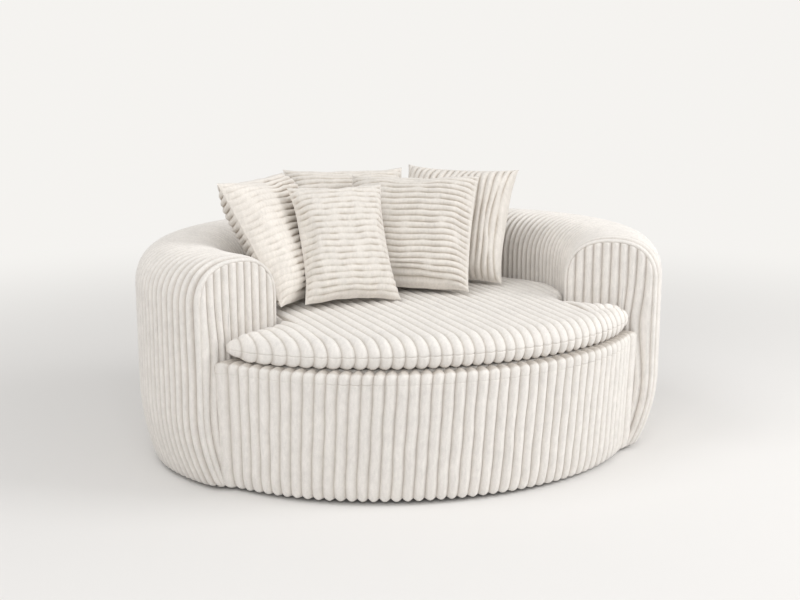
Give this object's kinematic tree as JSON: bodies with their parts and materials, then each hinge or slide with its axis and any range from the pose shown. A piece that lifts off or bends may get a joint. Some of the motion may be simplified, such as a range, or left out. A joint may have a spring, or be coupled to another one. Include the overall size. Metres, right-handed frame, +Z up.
{
  "type": "lounge chair",
  "caption": "Low oval lounge chair in cream wide-wale corduroy, with a rounded wrap-around back, deep loose seat cushion and loose pillows.",
  "frame": {"origin": "on the floor under the middle of the seat, at the underside of the centre foot", "axes": "+Z up, +Y towards the back, -Y the open front, +X across the chair to the right-hand arm as seen from the front"},
  "size_m": [1.4998, 1.2039, 0.7758],
  "materials": {
    "corduroy": "soft cream wide-wale corduroy",
    "lining": "thin dark lining cloth",
    "padding": "upholstery foam and fibre filling",
    "webbing": "elastic webbing",
    "plywood": "raw birch plywood",
    "timber": "raw sawn pine",
    "glide_plastic": "matt black plastic",
    "zinc_steel": "zinc-plated steel"
  },
  "bodies": {
    "base": {"back_cover": "corduroy", "back_foam": "padding", "bottom_board": "plywood", "crest_rail": "plywood", "deck_cover": "lining", "deck_foam": "padding", "deck_ring": "plywood", "dust_cover": "lining", "foot_back_left": "glide_plastic", "foot_back_right": "glide_plastic", "foot_bolts": "zinc_steel", "foot_centre": "glide_plastic", "foot_front_left": "glide_plastic", "foot_front_right": "glide_plastic", "foot_left": "glide_plastic", "foot_right": "glide_plastic", "front_cover": "corduroy", "front_foam": "padding", "front_skirt": "plywood", "joist": "timber", "left_arm_cover": "corduroy", "left_arm_foam": "padding", "left_arm_panel": "corduroy", "post_back_left": "timber", "post_back_right": "timber", "post_centre": "timber", "post_front_left": "timber", "post_front_right": "timber", "right_arm_cover": "corduroy", "right_arm_foam": "padding", "right_arm_panel": "corduroy", "strap_cross_1": "webbing", "strap_cross_2": "webbing", "strap_cross_3": "webbing", "strap_cross_4": "webbing", "strap_long_1": "webbing", "strap_long_2": "webbing", "strap_long_3": "webbing", "strap_long_4": "webbing", "wrap_former_1": "plywood", "wrap_former_2": "plywood", "wrap_former_3": "plywood", "wrap_former_4": "plywood", "wrap_former_5": "plywood", "wrap_former_6": "plywood", "wrap_former_7": "plywood", "wrap_former_8": "plywood", "wrap_former_9": "plywood"},
    "seat_cushion": {"seat_cushion_core": "padding", "seat_cushion_cover": "corduroy"},
    "pillow_left": {"pillow_left_cover": "corduroy", "pillow_left_filling": "padding"},
    "pillow_back": {"pillow_back_cover": "corduroy", "pillow_back_filling": "padding"},
    "pillow_small": {"pillow_small_cover": "corduroy", "pillow_small_filling": "padding"},
    "pillow_centre": {"pillow_centre_cover": "corduroy", "pillow_centre_filling": "padding"},
    "pillow_right": {"pillow_right_cover": "corduroy", "pillow_right_filling": "padding"}
  },
  "joints": [
    {"name": "seat_cushion_lift", "type": "slide", "parent": "base", "child": "seat_cushion", "axis": [0, 0, 1], "range_m": [0, 0.15]},
    {"name": "pillow_left_lift", "type": "slide", "parent": "seat_cushion", "child": "pillow_left", "axis": [-0.3206, 0.2905, 0.9016], "range_m": [0, 0.12]},
    {"name": "pillow_back_lift", "type": "slide", "parent": "seat_cushion", "child": "pillow_back", "axis": [-0.0201, 0.5523, 0.8334], "range_m": [0, 0.12]},
    {"name": "pillow_small_lift", "type": "slide", "parent": "seat_cushion", "child": "pillow_small", "axis": [0, 0, 1], "range_m": [0, 0.12]},
    {"name": "pillow_centre_lift", "type": "slide", "parent": "seat_cushion", "child": "pillow_centre", "axis": [0.2306, 0.4511, 0.8622], "range_m": [0, 0.12]},
    {"name": "pillow_right_lift", "type": "slide", "parent": "seat_cushion", "child": "pillow_right", "axis": [0.2896, 0.3795, 0.8787], "range_m": [0, 0.12]}
  ]
}
